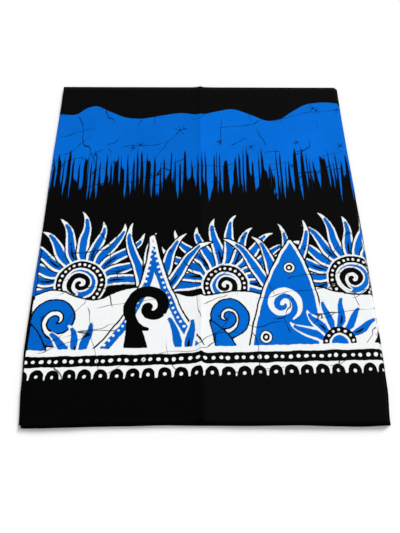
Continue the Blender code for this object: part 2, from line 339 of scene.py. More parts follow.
def face_ripple(x, y):
    """The face's soft troughs: broad ones and narrow ones everywhere, more of these beside the crease."""
    broad = waves(x, y, BROAD_RIPPLE, 3)
    narrow = waves(x, y * DRAWN_OUT, NARROW_RIPPLE, 7)
    beside = np.exp(-np.abs(x - SHIFT_X - CREASE_X) / CREASE_RIPPLE_REACH)
    return BROAD_SHARE * broad + (NARROW_SHARE + CREASE_RIPPLE_SHARE * beside) * narrow


def numbered(grid, start=0):
    """The indices of a grid's points."""
    rows, columns = grid.shape[:2]
    return np.arange(rows * columns).reshape(rows, columns) + start


def grid_sides(grid, start=0):
    """The four sides of a grid, each running in the direction of a walk round it."""
    place = numbered(grid, start)
    return [place[0].tolist(), place[:, -1].tolist(), place[-1][::-1].tolist(), place[::-1, 0].tolist()]


def boundary(grid):
    """Indices round a grid, from its near left corner to the right."""
    return [place for side in grid_sides(grid) for place in side[:-1]]


def grid_faces(grid, start=0, flip=False):
    place = numbered(grid, start)
    quads = np.stack([place[:-1, :-1], place[:-1, 1:], place[1:, 1:], place[1:, :-1]], axis=-1).reshape(-1, 4)
    return (quads[:, ::-1] if flip else quads).tolist()


def flat_rows(*grids):
    """The points of several grids as one list."""
    return np.vstack([grid.reshape(-1, grid.shape[-1]) for grid in grids])


def joined(above, below):
    """Faces between two closed loops of the same count."""
    after = zip(above[1:] + above[:1], below[1:] + below[:1])
    return [(high, low, next_low, next_high) for high, low, (next_high, next_low) in zip(above, below, after)]


def zipped(long_side, short_side):
    """Triangles between two open chains of points of different counts that run side by side."""
    faces = []
    at = 0
    steps = len(long_side) - 1
    for step in range(steps):
        faces.append((long_side[step], short_side[at], long_side[step + 1]))
        wanted = (step + 1) / steps * (len(short_side) - 1)
        while at < len(short_side) - 1 and (at + 0.5 < wanted or step == steps - 1):
            faces.append((long_side[step + 1], short_side[at], short_side[at + 1]))
            at += 1
    return faces


def new_object(name, data):
    made = bpy.data.objects.new(name, data)
    bpy.context.collection.objects.link(made)
    return made


# Folds sharper than this keep a hard edge in the shading
SHARP_ANGLE = math.radians(55)


def add_mesh(name, points, faces, material, places, numbers=None):
    """Adds a smooth mesh object, with its place on the flat cloth as a UV map and named numbers per point."""
    mesh = bpy.data.meshes.new(name)
    mesh.from_pydata([tuple(point) for point in points], [], faces)
    mesh.update()
    corners = np.empty(len(mesh.loops), dtype=np.int32)
    mesh.loops.foreach_get("vertex_index", corners)
    mesh.uv_layers.new(name=CLOTH_MAP).data.foreach_set("uv", places[corners].astype(np.float32).ravel())
    for label, values in (numbers or {}).items():
        attribute = mesh.attributes.new(label, "FLOAT", "POINT")
        attribute.data.foreach_set("value", values.astype(np.float32))
    mesh.materials.append(material)
    mesh.shade_smooth()
    mesh.set_sharp_from_angle(angle=SHARP_ANGLE)
    return new_object(name, mesh)


# The print, drawn by layers of paint on the flat cloth

WHITE, BLUE, BLACK = "white", "blue", "black"
FAR_OFF = 12.0
LOWER_TILT = 0.019
# How the drawing hand strays: how far, over what length, and a seed
STRAY_ACROSS = ((1.1, 47, 1), (0.4, 13, 4))
STRAY_DOWN = ((1.1, 53, 2), (0.4, 11, 5))


def strayed(across, down, rows):
    return sum(size * waves(across, down, long, seed) for size, long, seed in rows)


def beside(across, down, start, end):
    """The share of the way along a side where each point is nearest to it, and how far away it is."""
    step = end - start
    share = ((across - start[0]) * step[0] + (down - start[1]) * step[1]) / max(step @ step, 1e-9)
    share = np.clip(share, 0, 1)
    return share, np.hypot(across - start[0] - share * step[0], down - start[1] - share * step[1])


class Print:
    """Distances to the edges of the white and the blue areas, in millimetres, negative inside."""

    def __init__(self, across, down):
        self.across = across + strayed(across, down, STRAY_ACROSS)
        self.down = down + LOWER_TILT * across + strayed(across, down, STRAY_DOWN)
        self.edges = {WHITE: np.full(across.shape, FAR_OFF), BLUE: np.full(across.shape, FAR_OFF)}

    def paint(self, distance, colour, where=slice(None)):
        for area, edge in self.edges.items():
            if area == colour:
                edge[where] = np.minimum(edge[where], distance)
            else:
                edge[where] = np.maximum(edge[where], -distance)

    def near(self, centre, reach):
        """Indices of the points within a square, so that a small shape costs little."""
        close = (np.abs(self.across - centre[0]) < reach) & (np.abs(self.down - centre[1]) < reach)
        return np.nonzero(close)[0]

    def area(self, outline, layers):
        """Fills a closed outline, once for each (colour, how much it is widened)."""
        low, high = outline.min(0), outline.max(0)
        where = self.near((low + high) / 2, (high - low).max() / 2 + FAR_OFF)
        across, down = self.across[where], self.down[where]
        inside = np.zeros(across.shape, dtype=bool)
        distance = np.full(across.shape, 1e3)
        for start, end in zip(outline, np.roll(outline, -1, axis=0)):
            step = end - start
            distance = np.minimum(distance, beside(across, down, start, end)[1])
            if step[1]:
                crossing = (start[1] > down) != (end[1] > down)
                inside ^= crossing & (across < start[0] + (down - start[1]) * step[0] / step[1])
        distance = np.where(inside, -distance, distance)
        for colour, wider in layers:
            self.paint(distance - wider, colour, where)

    def disc(self, centre, radius, colour, squash=1.0):
        where = self.near(centre, radius + FAR_OFF)
        away = np.hypot(self.across[where] - centre[0], (self.down[where] - centre[1]) * squash)
        self.paint(away - radius, colour, where)

    def brush(self, path, widths, layers):
        """Draws a stroke along a path, once for each (colour, how much it is widened)."""
        middle = (path.max(0) + path.min(0)) / 2
        reach = (path.max(0) - path.min(0)).max() / 2 + widths.max() + FAR_OFF
        where = self.near(middle, reach)
        across, down = self.across[where], self.down[where]
        distance = np.full(across.shape, 1e3)
        for start, end, low, high in zip(path[:-1], path[1:], widths[:-1], widths[1:]):
            share, away = beside(across, down, start, end)
            distance = np.minimum(distance, away - low - share * (high - low))
        for colour, wider in layers:
            self.paint(distance - wider, colour, where)


def curl(start, heading, length, bend=0.0, wind=0.0, steps=18):
    """A path that starts at a heading in degrees from straight up, turns by bend, and ever more by wind."""
    shares = np.linspace(0, 1, steps + 1)
    turns = np.radians(heading + bend * shares + wind * shares ** 2)
    moves = np.stack([np.sin(turns), -np.cos(turns)], axis=1)[:-1] * length / steps
    return np.vstack([[start], start + np.cumsum(moves, axis=0)])


def leaf(width, steps=18, fullest=0.8, point=0.9):
    """Half widths of a petal or leaf: thin at its foot, full, then drawn to a point."""
    shares = np.linspace(0, 1, steps + 1)
    return width * np.sin(math.pi * shares ** fullest) ** point


# The drawn design's heights down the cloth, and the sizes of its dots, scallops and wax lines
MOTIF_BASE = 490.0
BAND_TOP, BAND_BOTTOM = 499.5, 515.6
SCALLOP_TOP, SCALLOP_BOTTOM = 519.2, 533.2
DOT_PITCH, DOT_RADIUS = 11.0, 2.9
SCALLOP_PITCH, SCALLOP_HALF = 22.2, 9.35
WAX_LINE = 3.6


def bowed(corners, steps=12):
    """A closed outline through corners (across, down, bow): each side is bowed outwards by that much."""
    shares = np.linspace(0, 1, steps, endpoint=False)[:, None]
    sides = []
    for (x, y, bow), (next_x, next_y, _) in zip(corners, corners[1:] + corners[:1]):
        side = np.array([next_x - x, next_y - y])
        normal = np.array([side[1], -side[0]]) / np.hypot(*side)
        sides.append(np.array([x, y]) + side * shares + normal * bow * 4 * shares * (1 - shares))
    return np.vstack(sides)


# Spirals: how fast they tighten, the radius of their heart, and a band's width at its tip, how it swells
# from there, and how much of it is lost by its end
TIGHTENING, SPIRAL_HEART = 0.85, 2.5
SPIRAL_TIP, SPIRAL_SWELL, SPIRAL_TAPER = 0.25, 4.5, 0.38


def winding(centre, radius, start, turns, steps=54):
    """A path that winds in to a centre, from a heading, clockwise where turns is positive."""
    shares = np.linspace(0, 1, steps + 1)
    turn = np.radians(start) + 2 * math.pi * turns * shares
    reach = radius * (1 - shares) ** TIGHTENING + SPIRAL_HEART
    return np.array(centre) + np.stack([reach * np.sin(turn), -reach * np.cos(turn)], axis=1)


def spiral(cloth, centre, radius, start, turns, width, layers):
    """A band that winds in to a round end."""
    path = winding(centre, radius, start, turns)
    shares = np.linspace(0, 1, len(path))
    widths = width * np.minimum(SPIRAL_TIP + SPIRAL_SWELL * shares, 1 - SPIRAL_TAPER * shares)
    cloth.brush(path, widths, layers)


def around(centre, reach, heading):
    """The point at a reach and a heading in degrees from a centre."""
    turn = math.radians(heading)
    return np.array(centre) + reach * np.array([math.sin(turn), -math.cos(turn)])


# Flames: how long one is beside the others, how it starts, bends and winds back, where its blue heart and its
# black vein run, as steps of its path, and how much and how late its white border thins out
FLAME_LENGTHS = (1.0, 0.84, 0.93)
FLAME_START, FLAME_BEND, FLAME_WIND = -40, 168, -184
FLAME_HEART, FLAME_VEIN = slice(0, 16), slice(2, 9)
BORDER_THINNING, BORDER_LATENESS = 0.9, 2.5


def flames(cloth, centre, inner, outer, headings, hand, width, rim=2.2):
    """Rays that flicker outwards from a point."""
    for number, heading in enumerate(headings):
        length = (outer - inner) * FLAME_LENGTHS[number % 3]
        path = curl(around(centre, inner, heading), heading + hand * FLAME_START, length, hand * FLAME_BEND,
                    hand * FLAME_WIND)
        widths = leaf(width, fullest=0.62, point=0.8)
        border = WAX_LINE * (1 - BORDER_THINNING * np.linspace(0, 1, len(path)) ** BORDER_LATENESS)
        cloth.brush(path, widths + border, [(BLACK, rim), (WHITE, 0.0)])
        cloth.brush(path[FLAME_HEART], widths[FLAME_HEART], [(BLUE, 0.0)])
        if number % 2:
            cloth.brush(path[FLAME_VEIN], leaf(width * 0.3, 6), [(BLACK, 0.0)])


# A sun's rings, by how much each is wider than its heart, and the beads on the black one
SUN_RINGS = ((12.5, WHITE), (9.8, BLACK), (-1.0, WHITE), (-4.2, BLUE))
BEAD_RING, BEAD_SPACING, BEAD_RADIUS = 4.4, 8.0, 2.2


def sun(cloth, centre, radius, reach, headings, hand):
    """A round heart with a dotted rim and flames round it."""
    flames(cloth, centre, radius + 4, reach, headings, hand, 5.4)
    for wider, colour in SUN_RINGS:
        cloth.disc(centre, radius + wider, colour)
    count = round(2 * math.pi * (radius + BEAD_RING) / BEAD_SPACING)
    for step in range(count):
        cloth.disc(around(centre, radius + BEAD_RING, 180 - 360 * step / count), BEAD_RADIUS, WHITE)
    spiral(cloth, centre, radius * 0.58, 200, hand * 1.3, radius * 0.17, [(WHITE, 2.6), (BLACK, 0.0)])


PEARL_SPACING, PEARL_RADIUS = 9.4, 2.1


def sail(cloth, corners, layers, pearls=0.0):
    """A pointed mass with bowed sides, and a row of pearls inside its edge."""
    outline = bowed(corners)
    cloth.area(outline, layers)
    if pearls:
        inside = bowed(corners, 200)
        steps = np.hypot(*np.diff(inside, axis=0, append=inside[:1]).T)
        along = np.cumsum(steps) % PEARL_SPACING < steps
        centre = inside.mean(0)
        for spot in inside[along]:
            towards = centre - spot
            cloth.disc(spot + towards * pearls / np.hypot(*towards), PEARL_RADIUS, WHITE)


TARGET_RINGS = ((1.0, BLACK), (0.84, WHITE), (0.56, BLACK), (0.24, WHITE))


def target(cloth, centre, radius):
    """A small ringed dot."""
    for share, colour in TARGET_RINGS:
        cloth.disc(centre, radius * share, colour)


def scroll(cloth, centre, radius, start, turns, width, foot, layers):
    """A spiral that stands on a pointed foot."""
    spiral(cloth, centre, radius, start, turns, width, layers)
    sail(cloth, foot, layers)


def draw_motifs(cloth):
    """The broad lower band: suns with flames, pointed masses and windings, on black above and white below."""
    sun(cloth, (-186, 388), 27, 130, range(-92, 112, 17), 1)
    sun(cloth, (32, 396), 24, 128, range(-100, 100, 16), -1)
    sun(cloth, (226, 388), 28, 128, range(-110, 92, 17), 1)
    flames(cloth, (-88, 430), 20, 152, (-24, -8, 12, 28), -1, 5.6)
    flames(cloth, (128, 430), 20, 154, (-26, -10, 10, 26), 1, 5.6)
    ground = [(-264, 416, 8), (-206, 402, -6), (-150, 414, 10), (-60, 400, -8), (20, 410, 6), (96, 416, 8),
              (180, 404, -6), (264, 414, 0), (264, 512, 0), (-264, 512, 0)]
    sail(cloth, ground, [(BLACK, 2.4), (WHITE, 0.0)])
    sail(cloth, [(-80, 312, -12), (8, 512, 0), (-176, 512, -26)],
         [(BLACK, 6.4), (WHITE, 4.0), (BLUE, 0.0), (WHITE, -10.5)], 5.2)
    sail(cloth, [(134, 324, 17), (160, 512, 0), (66, 512, 12)],
         [(BLACK, 6.4), (WHITE, 4.0), (BLUE, 0.0)])
    sail(cloth, [(272, 426, 0), (272, 512, 0), (222, 512, -8)], [(BLACK, 0.0)])
    scroll(cloth, (-80, 428), 33, 185, 1.3, 10.0, [(-118, 512, 0), (-113, 428, 6), (-78, 512, 0)],
           [(BLACK, 0.0)])
    spiral(cloth, (116, 428), 25, 150, -1.5, 5.4, [(WHITE, 0.0)])
    target(cloth, (130, 368), 10)
    target(cloth, (88, 478), 10)
    scroll(cloth, (-216, 446), 33, 165, 1.35, 8.6, [(-252, 512, 0), (-252, 452, 6), (-222, 512, 0)],
           [(BLACK, 2.4), (BLUE, 0.0)])
    flames(cloth, (-176, 512), 8, 76, (-34, -6, 22), 1, 6.4, 0.0)
    scroll(cloth, (32, 446), 27, 185, -1.4, 7.4, [(20, 512, 0), (8, 452, 8), (50, 512, 0)],
           [(BLACK, 2.2), (BLUE, 0.0)])
    flames(cloth, (-24, 512), 10, 84, (-12, 16), 1, 6.2, 0.0)
    half_sun(cloth, (194, 490))


HALF_SUN_RINGS = ((25, BLACK), (15.5, WHITE), (12.5, BLUE))
HALF_SUN_PEARLS = 20.2


def half_sun(cloth, centre):
    """Half a sun on the white strip, with leaves round it."""
    flames(cloth, centre, 22, 80, range(-76, 60, 25), -1, 5.4, 0.0)
    for radius, colour in HALF_SUN_RINGS:
        cloth.disc(centre, radius, colour)
    for heading in range(-78, 79, 26):
        cloth.disc(around(centre, HALF_SUN_PEARLS, heading), PEARL_RADIUS, WHITE)


def draw_bands(cloth):
    """The white strip, the dotted black band, and the row of black scallops with a dot in each."""
    inside = np.maximum(MOTIF_BASE - cloth.down, cloth.down - SCALLOP_BOTTOM)
    cloth.paint(inside, WHITE)
    cloth.paint(np.maximum(BAND_TOP - cloth.down, cloth.down - BAND_BOTTOM), BLACK)
    chance = np.random.default_rng(11)
    for number in range(-25, 26):
        across = number * DOT_PITCH + chance.uniform(-0.9, 0.9)
        down = (BAND_TOP + BAND_BOTTOM) / 2 + chance.uniform(-0.4, 0.4)
        cloth.disc((across, down), DOT_RADIUS * chance.uniform(0.94, 1.12), WHITE, chance.uniform(1.0, 1.2))
    for number in range(-13, 13):
        middle = (number + 0.42) * SCALLOP_PITCH + chance.uniform(-0.7, 0.7)
        half = SCALLOP_HALF * chance.uniform(0.97, 1.05)
        top = SCALLOP_TOP + chance.uniform(-0.5, 0.5)
        path = np.array([(middle, top + half), (middle, SCALLOP_BOTTOM + 4.0)])
        cloth.brush(path, np.array([half, half + 0.8]), [(BLACK, 0.0)])
        cloth.disc((middle, top + half + 0.2), 2.4 * chance.uniform(0.92, 1.1), WHITE)
    cloth.paint(SCALLOP_BOTTOM + 1.5 - cloth.down, BLACK)


def draw_left_fold(cloth):
    """Along the left fold: a blue strip with a black rim beside the motifs, and black below it beside the
    motifs and the bands.
    """
    sail(cloth, [(-251, 330, 0), (-252, 412, 0), (-280, 412, 0), (-280, 330, 0)], [(BLACK, 1.4), (BLUE, 0.0)])
    sail(cloth, [(-252, 406, 0), (-254, 545, 0), (-280, 545, 0), (-280, 406, 0)], [(BLACK, 0.0)])


# The wavy upper edge of the blue band, across and down
WAVE_POINTS = (
    (-264, 63), (-240, 67), (-219, 66), (-204, 53.5), (-190, 48), (-160, 61), (-135, 73), (-110, 76),
    (-70, 68.5), (-37, 63), (-4, 66.8), (22, 60.2), (54, 54), (86, 66.5), (116, 80), (140, 74), (162, 57.5),
    (183, 44), (208, 38.5), (264, 43),
)


def wave_line(across):
    """The upper edge of the blue band: a smooth line through its points."""
    x, y = np.array(WAVE_POINTS, dtype=float).T
    slopes = np.gradient(y, x)
    low = np.clip(np.searchsorted(x, across) - 1, 0, len(x) - 2)
    span = x[low + 1] - x[low]
    share = np.clip((across - x[low]) / span, 0, 1)
    back = 1 - share
    ends = y[low] * (1 + 2 * share) * back ** 2 + y[low + 1] * (3 - 2 * share) * share ** 2
    return ends + span * share * back * (slopes[low] * back - slopes[low + 1] * share)


# Materials


class Value:
    """A number worked out by nodes, which takes the usual signs of arithmetic."""

    def __init__(self, wiring, socket):
        self.wiring = wiring
        self.socket = socket

    def math(self, operation, *others):
        return self.wiring.math(operation, self, *others)

    def __add__(self, other):
        return self.math("ADD", other)

    def __sub__(self, other):
        return self.math("SUBTRACT", other)

    def __rsub__(self, other):
        return self.wiring.math("SUBTRACT", other, self)

    def __mul__(self, other):
        return self.math("MULTIPLY", other)

    def __truediv__(self, other):
        return self.math("DIVIDE", other)

    def between(self, low, high):
        """Low at 0, high at 1."""
        return self * (high - low) + low

    def held(self, low, high):
        """The same, but never under low or over high."""
        return self.math("MAXIMUM", low).math("MINIMUM", high)

    def ramp(self, start, full, low=0.0, high=1.0, kind="SMOOTHSTEP"):
        """Low before start, high after full, smooth or straight between them."""
        return self.wiring.value("ShaderNodeMapRange", {"interpolation_type": kind}, Value=self,
                                 From_Min=start, From_Max=full, To_Min=low, To_Max=high)

    def edge(self, softness):
        """1 where this distance is well below zero, 0 where it is well above."""
        return self.ramp(softness, -softness)


class Wiring:
    """Short ways to add nodes to a tree and join them."""

    def __init__(self, tree):
        self.tree = tree
        self.shader = tree.nodes.get("Principled BSDF")

    def give(self, socket, value):
        if isinstance(value, Value):
            value = value.socket
        if isinstance(value, bpy.types.NodeSocket):
            self.tree.links.new(value, socket)
        else:
            socket.default_value = value

    def fill(self, node, **inputs):
        """Gives a node's inputs, by name, a plain value or another node's output."""
        for name, value in inputs.items():
            self.give(node.inputs[name.replace("_", " ")], value)

    def add(self, kind, settings=None, **inputs):
        node = self.tree.nodes.new(kind)
        for name, value in (settings or {}).items():
            setattr(node, name, value)
        self.fill(node, **inputs)
        return node

    def out(self, kind, settings=None, **inputs):
        """Adds a node for its first output."""
        return self.add(kind, settings, **inputs).outputs[0]

    def value(self, kind, settings=None, **inputs):
        return Value(self, self.out(kind, settings, **inputs))

    def worked(self, kind, operation, values):
        """Adds a node that works out something from values in order."""
        node = self.add(kind, {"operation": operation})
        for socket, value in zip(node.inputs, values):
            self.give(socket, value)
        return node

    def math(self, operation, *values):
        return Value(self, self.worked("ShaderNodeMath", operation, values).outputs[0])

    def vector(self, operation, *values):
        return self.worked("ShaderNodeVectorMath", operation, values).outputs[0]

    def place(self, across, down):
        return self.out("ShaderNodeCombineXYZ", X=across, Y=down)

    def number(self, name):
        return Value(self, self.add("ShaderNodeAttribute", {"attribute_name": name}).outputs["Fac"])

    def noise(self, place, scale=1.0, detail=2.0, roughness=0.5):
        return self.value("ShaderNodeTexNoise", Vector=place, Scale=scale, Detail=detail, Roughness=roughness)

    def chance(self, cell, seed):
        """A fixed random number for each whole number."""
        return self.value("ShaderNodeTexWhiteNoise", {"noise_dimensions": "1D"}, W=cell + (seed + 0.5))

    def mix(self, share, first, second, blend="MIX"):
        node = self.add("ShaderNodeMix", {"data_type": "RGBA", "blend_type": blend})
        for socket, value in zip((node.inputs[0], node.inputs[6], node.inputs[7]), (share, first, second)):
            self.give(socket, (*value, 1.0) if isinstance(value, tuple) else value)
        return node.outputs[2]

    def tinted(self, colour, strength):
        return self.out("ShaderNodeVectorMath", {"operation": "SCALE"}, Vector=colour, Scale=strength)


def new_material(name, **inputs):
    """A material with its uniform values set on its shader, and its wiring."""
    material = bpy.data.materials.new(name)
    material.use_nodes = True
    wiring = Wiring(material.node_tree)
    wiring.fill(wiring.shader, **inputs)
    return material, wiring


def flat_place(wiring):
    """Across and down on the flat cloth, in millimetres."""
    split = wiring.add("ShaderNodeSeparateXYZ", Vector=wiring.out("ShaderNodeUVMap", {"uv_map": CLOTH_MAP}))
    return [Value(wiring, split.outputs[axis]) * (1 / MM) for axis in (0, 1)]


# Plain weave: thread pitch, how fast its rows bend, how fast thicker threads vary across and along
# themselves, the share of the plain threads in the relief, and its strength and depth
THREAD_PITCH = 0.46
WEAVE_BEND = 0.05
SLUB_ACROSS, SLUB_ALONG = 1.3, 0.03
WEAVE_SHARE = 0.35
WEAVE_STRENGTH = 0.6
WEAVE_RELIEF = 0.12 * MM


def weave(wiring, across, down):
    """Sets the bump of threads over and under each other, and returns how thick the threads are."""
    bend = wiring.noise(wiring.place(across * WEAVE_BEND, down * WEAVE_BEND))
    turns = 2 * math.pi / THREAD_PITCH
    warp, weft = (((way + bend) * turns).math("SINE") for way in (across, down))
    slubs = (wiring.noise(wiring.place(across * SLUB_ACROSS, down * SLUB_ALONG))
             + wiring.noise(wiring.place(across * SLUB_ALONG, down * SLUB_ACROSS)))
    bump = wiring.out("ShaderNodeBump", Strength=WEAVE_STRENGTH, Distance=WEAVE_RELIEF,
                      Height=warp * weft * WEAVE_SHARE + slubs)
    wiring.fill(wiring.shader, Normal=bump)
    return slubs


def cotton(name):
    """A cotton material without its colour, and its wiring."""
    looks = bpy.context.scene.sarong_print
    return new_material(name, Roughness=looks.roughness, Specular_IOR_Level=0.021, Sheen_Weight=looks.sheen,
                        Sheen_Roughness=0.3)


# How much lighter than the print's black the hem is, where it is least and most worn
HEM_SHADES = (1.1, 2.09)


def plain_cotton(name):
    """Cotton dyed black, slightly uneven, with the same weave as the print."""
    material, wiring = cotton(name)
    slubs = weave(wiring, *flat_place(wiring))
    black = bpy.context.scene.sarong_print.black
    black, worn = (tuple(value * lighter for value in black) for lighter in HEM_SHADES)
    wiring.fill(wiring.shader, Base_Color=wiring.mix(slubs.ramp(0.8, 1.25, kind="LINEAR"), black, worn))
    return material


# Streaks: width of a cell, seed, highest and lowest black tips, highest and lowest blue tips
COARSE_STREAKS = (8.8, 7, 138, 172, 200, 246)
FINE_STREAKS = (3.7, 31, -10, 0, 0, 10)
# Where in its cell a streak may have its tip
TIP_PLACES = (0.22, 0.78)
# A streak's sides: how steep their middles are, and the shares of straight and steep sides
STEEPNESS = 7.0
STRAIGHT_SHARE, STEEP_SHARE = 0.29, 0.21
# Thin lines inside the streaks: pitch, seed, thinnest and thickest half width, tips, and where they start
BLACK_LINES = (6.1, 17, -1.0, 0.75, 142, 190, 262)
BLUE_LINES = (5.4, 59, -1.0, 0.7, 196, 246, 136)
LINE_PLACES = (0.25, 0.75)
# How the streaks bunch and lean: how fast that varies, and how far it reaches in millimetres
BUNCHING, BUNCHING_REACH = 0.045, 34.0
LEANING, LEANING_REACH = (0.02, 0.012), 6.0
STREAK_SLOPE = 0.12


def streak_row(wiring, across, teeth):
    """The height of a jagged line for each place across: steep sides between pointed tips."""
    cell, seed, black_high, black_low, blue_high, blue_low = teeth
    number = (across / cell).math("FLOOR")
    share = (across / cell).math("FRACT")
    turn = wiring.chance(number, seed).between(*TIP_PLACES)
    centred = (share / turn).math("MINIMUM", (1.0 - share) / (1.0 - turn)) * 2.0 - 1.0
    shaped = centred * STRAIGHT_SHARE + (centred * STEEPNESS).held(-1.0, 1.0) * STEEP_SHARE + 0.5
    after = number + share.math("GREATER_THAN", turn)
    black_tip = wiring.chance(after, seed + 100).between(black_high, black_low)
    blue_tip = wiring.chance(number, seed + 200).between(blue_high, blue_low)
    return shaped.between(black_tip, blue_tip)


def thin_lines(wiring, across, down, lines):
    """Distance to a comb of thin lines that end in pointed tips."""
    pitch, seed, thin, thick, tip_high, tip_low, start = lines
    number = (across / pitch).math("FLOOR")
    middle = wiring.chance(number, seed).between(*LINE_PLACES)
    away = ((across / pitch).math("FRACT") - middle).math("ABSOLUTE") * pitch
    widest = wiring.chance(number, seed + 100).between(thin, thick)
    reach = wiring.chance(number, seed + 200).between(tip_high - start, tip_low - start)
    narrowing = ((down - start) / reach).held(0.0, 1.0).math("POWER", 3.0)
    return away - widest * (1.0 - narrowing) + narrowing * 0.5


def streaks(wiring, across, down):
    """Distance to the blue band above its lower edge, where dyes ran into each other in streaks."""
    bunch = wiring.noise(wiring.place(across * BUNCHING, 3.0))
    lean = wiring.noise(wiring.place(across * LEANING[0], down * LEANING[1]))
    across = across + bunch * BUNCHING_REACH + lean * LEANING_REACH
    line = streak_row(wiring, across, COARSE_STREAKS) + streak_row(wiring, across, FINE_STREAKS)
    blue = (down - line) * STREAK_SLOPE
    blue = blue.math("MAXIMUM", thin_lines(wiring, across, down, BLACK_LINES) * -1.0)
    return blue.math("MINIMUM", thin_lines(wiring, across, down, BLUE_LINES))


# Wax cracks: stretch of the noise across and down, how it slopes across and down, seed, how thin, how sparse
CRACKS = (
    ((0.009, 0.017, 1.0), (0.004, 0.016), 4.0, 0.0098, 0.50),
    ((0.019, 0.008, 1.0), (-0.017, 0.004), 9.5, 0.0102, 0.52),
    ((0.007, 0.026, 1.0), (-0.005, -0.021), 15.0, 0.0102, 0.51),
    ((0.016, 0.016, 1.0), (0.013, 0.012), 23.0, 0.0098, 0.525),
)
CRACK_WANDER = 1.4
CRACK_SOFTNESS = 0.6
PATCH_FADE = 0.05
CRACK_PATCHES = (0.013, 0.013, 1.0)
CRACK_DARKNESS = 0.94
# Knots of cracks: cell that holds one, half width of a ray, radius of the heart, shortest and longest ray,
# how fast and how far the rays bend, the share of cells that stay empty, and half the number of rays
STAR_CELL = 54.0
STAR_LINE = 1.3
STAR_HEART = 1.5
STAR_REACH = (3.0, 12.0)
STAR_BEND, STAR_BEND_REACH = (0.09, 0.09, 1.0), 3.0
STAR_RARE = 0.4
STAR_RAYS = 2.5


def cracks(wiring, place, across, down):
    """Long thin wandering lines, here and there."""
    veins = 0.0
    for stretch, slope, seed, thin, sparse in CRACKS:
        spot = wiring.vector("MULTIPLY_ADD", place, stretch, (seed, seed * 1.7, seed))
        line = wiring.noise(spot, 1.0, 3.0, 0.42) * CRACK_WANDER + (across * slope[0] + down * slope[1])
        line = ((line.math("FRACT") - 0.5).math("ABSOLUTE") - thin).edge(thin * CRACK_SOFTNESS)
        patch = wiring.vector("MULTIPLY_ADD", place, CRACK_PATCHES, (seed * 3.1, seed, 2.0))
        line = line * wiring.noise(patch, 1.0, 1.0).ramp(sparse, sparse + PATCH_FADE, kind="LINEAR")
        veins = line.math("MAXIMUM", veins)
    return veins


def stars(wiring, place):
    """Small knots where cracks meet: a few short rays round a point."""
    cells = wiring.add("ShaderNodeTexVoronoi", {"voronoi_dimensions": "2D"}, Vector=place,
                       Scale=1.0 / STAR_CELL).outputs
    away = wiring.vector("SUBTRACT", place, cells["Position"])
    x, y = wiring.add("ShaderNodeSeparateXYZ", Vector=away).outputs[:2]
    distance = Value(wiring, wiring.worked("ShaderNodeVectorMath", "LENGTH", [away]).outputs["Value"])
    chances = wiring.add("ShaderNodeSeparateColor", Color=cells["Color"]).outputs
    bent, long, rare = (Value(wiring, out) for out in chances)
    bend = wiring.noise(wiring.vector("MULTIPLY_ADD", place, STAR_BEND, (5.0, 2.0, 1.0)))
    turn = bend * STAR_BEND_REACH + wiring.math("ARCTAN2", y, x)
    rays = (turn * STAR_RAYS + bent).math("SINE").math("ABSOLUTE") * distance
    within = (distance - long.between(*STAR_REACH)).edge(2.5)
    knot = ((rays - STAR_LINE).edge(0.8) * within).math("MAXIMUM", (distance - STAR_HEART).edge(0.8))
    return knot * rare.math("GREATER_THAN", STAR_RARE)


# Painted light and shade on the black dye, as how many times lighter it is drawn: on the left of the crease a
# painted glow from the far to the near end; on its right painted light from the right, where the near edge is
# left dark as painted shade; where the right side starts and is full, across
LEFT_PAINTED_LIGHT = (1.9, 1.0)
LEFT_PAINTED_LIGHT_DOWN = (100.0, 560.0)
RIGHT_PAINTED_LIGHT = 2.25
PAINTED_LIGHT_ACROSS = (-9.0, 3.0)
NEAR_PAINTED_SHADE_DOWN = (597.0, 593.0)
# A painted highlight along the far fold, where the rolled edge catches the light from behind: where it
# starts, is full and ends, down, and how light it is
FOLD_HIGHLIGHT = (2.0, 4.3, 11.5)
FOLD_HIGHLIGHT_STRENGTH = 4.2
# The blue dye: how strong it is drawn on the left and on the right of the crease, lighter on the right as
# painted light, and how much duller it is in the motifs
BLUE_PAINTED_LIGHT = (1.02, 1.13)
DULLER = -0.09
DULL_DOWN = (230.0, 300.0)


def painted_light_on_dyes(across, down):
    """How much lighter the black and the blue dye are drawn: painted light and shade by place, and the blue
    duller in the motifs.
    """
    # Painted light: the black drawn lighter on the right of the crease and towards the far end on the left;
    # painted shade keeps it dark along the near edge on the right
    right = across.ramp(*PAINTED_LIGHT_ACROSS)
    left_painted_light = down.ramp(*LEFT_PAINTED_LIGHT_DOWN).between(*LEFT_PAINTED_LIGHT)
    black = (right * down.ramp(*NEAR_PAINTED_SHADE_DOWN)).between(left_painted_light, RIGHT_PAINTED_LIGHT)
    # A painted highlight along the far fold
    start, full, end = FOLD_HIGHLIGHT
    black = black + down.ramp(start, full) * down.ramp(end, full) * FOLD_HIGHLIGHT_STRENGTH
    return black, right.between(*BLUE_PAINTED_LIGHT) + down.ramp(*DULL_DOWN) * DULLER


# Edges of the dyes: how far and how fast they wobble, and how soft drawn and poured edges are
EDGE_WOBBLE, WOBBLE_SCALE = 0.8, 0.24
DRAWN_SOFTNESS, POURED_SOFTNESS = 0.32, 0.4


